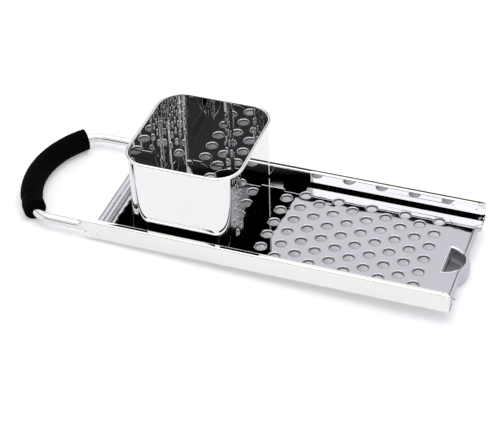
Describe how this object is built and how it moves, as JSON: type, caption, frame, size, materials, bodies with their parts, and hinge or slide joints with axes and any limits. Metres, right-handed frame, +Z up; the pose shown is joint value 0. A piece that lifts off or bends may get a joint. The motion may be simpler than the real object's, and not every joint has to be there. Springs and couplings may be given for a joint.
{
  "type": "spaetzle maker",
  "caption": "Perforated grater plate between folded rails, with a square hopper that slides along it, a tube handle with a foam sleeve and a pressed pot hook.",
  "frame": {"origin": "middle of the footprint, at the lowest point of the pot hook", "axes": "+X from the handle along the rails to the pot hook, +Y across the rails, +Z up out of the hopper"},
  "size_m": [0.3265, 0.1062, 0.0777],
  "materials": {
    "plate_steel": "polished stainless steel",
    "rail_steel": "polished stainless steel",
    "tube_steel": "polished stainless steel",
    "black_foam": "matte foam",
    "hopper_steel": "mirror-polished stainless steel",
    "base_steel": "polished stainless steel"
  },
  "bodies": {
    "frame": {"grater_plate": "plate_steel", "far_rail": "rail_steel", "near_rail": "rail_steel", "handle_tube": "tube_steel", "grip_sleeve": "black_foam"},
    "hopper": {"hopper_wall": "hopper_steel", "slide_base": "base_steel"}
  },
  "joints": [
    {"name": "hopper_slide", "type": "slide", "parent": "frame", "child": "hopper", "axis": [1, 0, 0], "range_m": [-0.0055, 0.134]}
  ]
}
